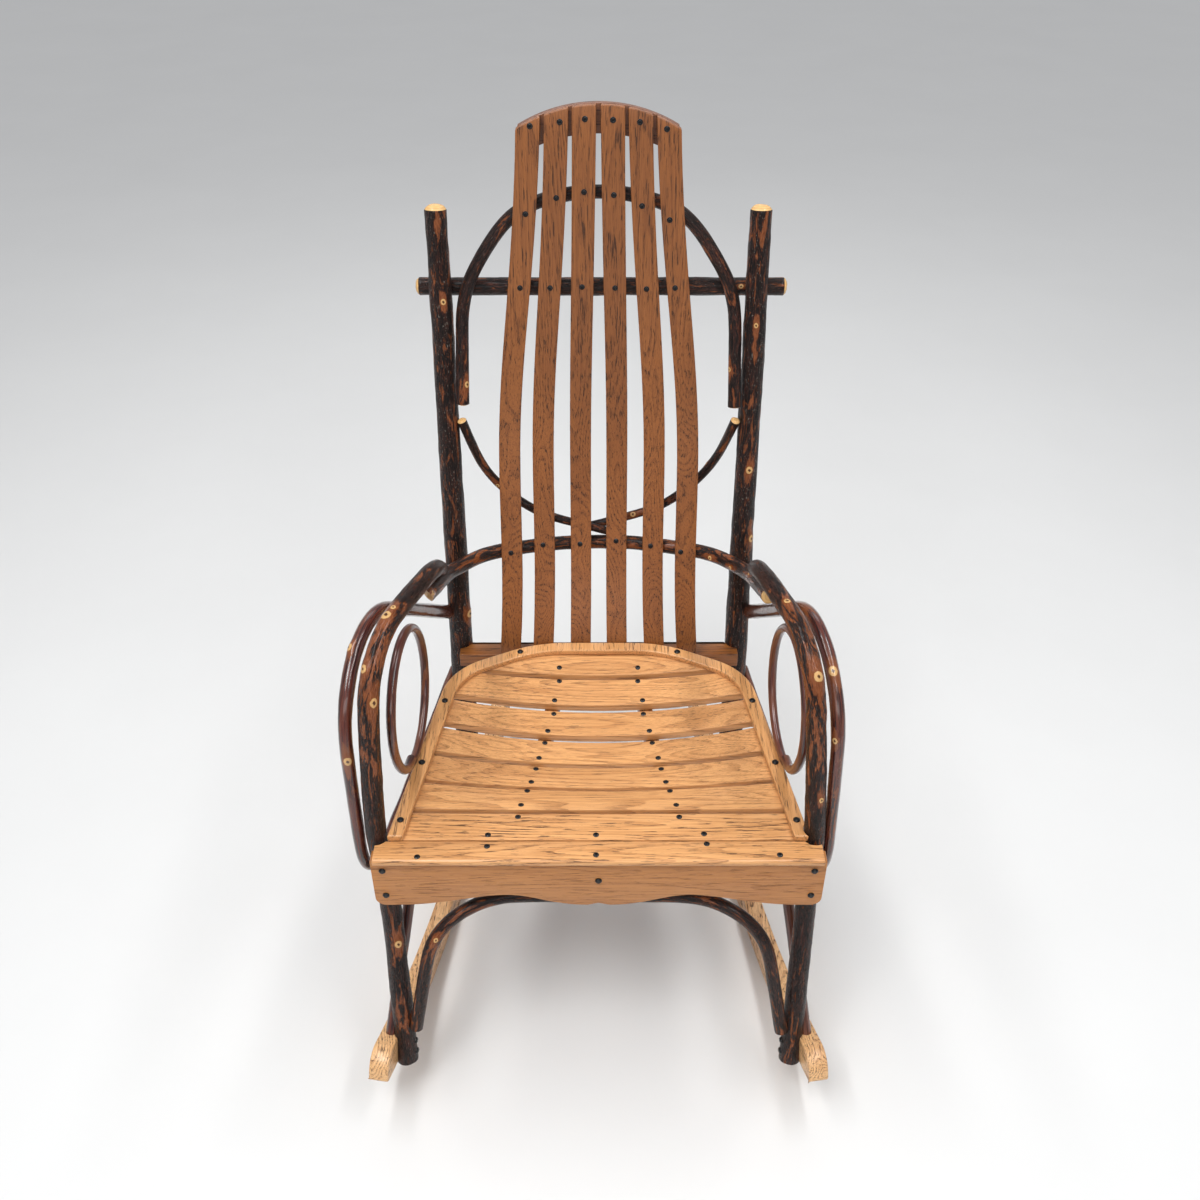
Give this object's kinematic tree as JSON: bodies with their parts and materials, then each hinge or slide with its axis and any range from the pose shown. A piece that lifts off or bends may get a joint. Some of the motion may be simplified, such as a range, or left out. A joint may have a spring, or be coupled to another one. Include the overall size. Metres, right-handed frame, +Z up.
{
  "type": "hickory rocking chair",
  "caption": "Rustic rocking chair: bent bark-on hickory saplings form the frame, arms and hoops round a dished oak board seat, fanned oak back slats and sawn oak rockers.",
  "frame": {"origin": "on the floor, mid-way between the rocker tips, on the plane of symmetry", "axes": "+Z up, +Y towards the back, +X to the right as the chair is seen from the front"},
  "size_m": [0.6483, 0.8385, 1.2059],
  "materials": {
    "hickory_bark": "dark furrowed hickory bark under clear semi-gloss finish",
    "smooth_hickory": "smooth reddish-brown young bark under clear gloss",
    "oak_seat": "golden oak, clear semi-gloss",
    "oak_back": "orange-brown oak, clear satin",
    "oak_frame": "tan oak, clear satin",
    "oak_rocker": "light tan oak, clear semi-gloss",
    "black_screw": "black oxide screw heads"
  },
  "bodies": {
    "root": {"apron_screws": "black_screw", "arm_bow": "hickory_bark", "arm_hoop_left": "smooth_hickory", "arm_hoop_right": "smooth_hickory", "arm_loop_left": "smooth_hickory", "arm_loop_right": "smooth_hickory", "back_hoop": "hickory_bark", "back_post_left": "hickory_bark", "back_post_right": "hickory_bark", "back_slat_1": "oak_back", "back_slat_2": "oak_back", "back_slat_3": "oak_back", "back_slat_4": "oak_back", "back_slat_5": "oak_back", "back_slat_6": "oak_back", "back_twig_left": "hickory_bark", "back_twig_right": "hickory_bark", "crest_board": "oak_back", "front_apron": "oak_frame", "front_arch_bow": "hickory_bark", "leg_arm_left": "hickory_bark", "leg_arm_right": "hickory_bark", "leg_screws": "black_screw", "rim_screws": "black_screw", "rocker_left": "oak_rocker", "rocker_right": "oak_rocker", "seat_batten_left": "oak_frame", "seat_batten_right": "oak_frame", "seat_board_1": "oak_seat", "seat_board_2": "oak_seat", "seat_board_3": "oak_seat", "seat_board_4": "oak_seat", "seat_board_5": "oak_seat", "seat_board_6": "oak_seat", "seat_board_7": "oak_seat", "seat_board_8": "oak_seat", "seat_rear_rail": "oak_frame", "seat_rim": "oak_seat", "side_bow_left": "smooth_hickory", "side_bow_right": "smooth_hickory", "top_crossbar": "hickory_bark"}
  },
  "joints": []
}
